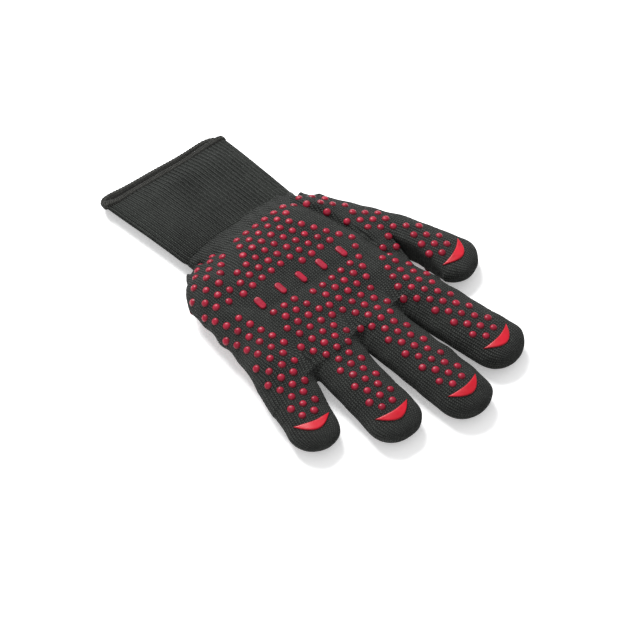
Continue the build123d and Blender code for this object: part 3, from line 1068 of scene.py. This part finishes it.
def hem_path(angle):
    """The line inside the hem, its distances, and directions across it: inward and sideways."""
    path = cuff_point(cuff_rim(angle), angle, 0.5)
    ahead = np.roll(path, -1, 0) - np.roll(path, 1, 0)
    ahead /= np.linalg.norm(ahead, axis=1)[:, None]
    inward = np.tile([1.0, 0, 0], (len(path), 1))
    inward -= ahead * (inward * ahead).sum(1)[:, None]
    inward /= np.linalg.norm(inward, axis=1)[:, None]
    return path, inward, np.cross(ahead, inward)


def build_hem(angle, around):
    """The rolled, overlocked edge: a cord of fabric round the mouth with stitches over it."""
    path, inward, side = hem_path(angle)
    distance, whole = ring_lengths(path)
    stitches = round(whole / HEM_STITCH)
    points, knit = [], []
    for k in range(HEM_STEPS):
        a = 2 * pi * k / HEM_STEPS
        wave = np.sin(2 * pi * stitches * distance / whole + a)
        radius = HEM_RADIUS + HEM_WAVE * wave + HEM_UNEVEN * np.sin(distance / 7)
        back = radius * HEM_FLAT * np.cos(a) + HEM_SHIFT
        points.append(path + inward * back[:, None] + side * (radius * np.sin(a))[:, None])
        knit.append(np.stack([distance, np.full(around, k * 0.65), 0 * distance], 1))
    points, knit = np.stack(points, 1), np.stack(knit, 1)
    a = np.arange(around) * HEM_STEPS
    b = np.roll(a, -1)
    faces = []
    for k in range(HEM_STEPS):
        m = (k + 1) % HEM_STEPS
        faces.append(np.stack([a + k, a + m, b + m, b + k], 1))
    made = make_mesh("cuff_rolled_hem", points.reshape(-1, 3), np.concatenate(faces), HEM, None,
                     knit.reshape(-1, 3))
    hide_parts("cuff_hem")
    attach(made, "hand")


# Each lamp: name, place, size and power
LAMPS = [
    ("key_light", (-1.1, 0.30, 1.25), 0.8, 48),
    ("fill_light", (0.8, -1.2, 1.3), 1.6, 6),
]
FLOOR_SIZE = 12
FLOOR_WHITE = (0.90, 0.90, 0.905, 1)
FLOOR_GLOW = 0.3
WORLD_LEVEL = 0.62


def build_stage():
    """A pale floor under soft white light."""
    bpy.ops.mesh.primitive_plane_add(size=FLOOR_SIZE, location=(0, 0, 0))
    floor = bpy.context.object
    floor.name = "studio_floor"
    n = Nodes("studio_white")
    n.set(Base_Color=FLOOR_WHITE, Roughness=0.9)
    n.set(Emission_Color=(1, 1, 1, 1), Emission_Strength=FLOOR_GLOW)
    floor.data.materials.append(n.material)
    world = bpy.data.worlds.new("studio_world")
    bpy.context.scene.world = world
    world.use_nodes = True
    background = world.node_tree.nodes["Background"]
    background.inputs["Color"].default_value = (1, 1, 1, 1)
    background.inputs["Strength"].default_value = WORLD_LEVEL
    for name, place, size, power in LAMPS:
        light = bpy.data.lights.new(name, "AREA")
        light.size, light.energy = size, power
        lamp = bpy.data.objects.new(name, light)
        bpy.context.scene.collection.objects.link(lamp)
        lamp.location = place
        lamp.rotation_euler = (-lamp.location).to_track_quat("-Z", "Y").to_euler()


def build_view():
    """Plain colours, as a product picture has them."""
    settings = bpy.context.scene.view_settings
    settings.view_transform, settings.look = "Standard", "None"
    settings.exposure, settings.gamma = 0.0, 1.0


CAMERA_TARGET = (0.0312, -0.02315, 0.0205)
CAMERA_RISE, CAMERA_TURN = 51.4, -45.0
CAMERA_DISTANCE = 1.533
CAMERA_LENS = 143.1


def build_camera():
    """A high view from the little finger's side of the fingertips."""
    rise, turn = radians(CAMERA_RISE), radians(CAMERA_TURN)
    away = Vector((cos(rise) * cos(turn), cos(rise) * sin(turn), sin(rise)))
    camera = bpy.data.objects.new("camera", bpy.data.cameras.new("camera"))
    camera.data.sensor_width, camera.data.lens = 36, CAMERA_LENS
    camera.location = Vector(CAMERA_TARGET) + away * CAMERA_DISTANCE
    camera.rotation_euler = (-away).to_track_quat("-Z", "Y").to_euler()
    bpy.context.scene.collection.objects.link(camera)
    bpy.context.scene.camera = camera


build_skin()
build_dots()
build_bars()
build_crescents()
build_cuff()
build_stage()
build_camera()
build_view()
bpy.context.view_layer.update()
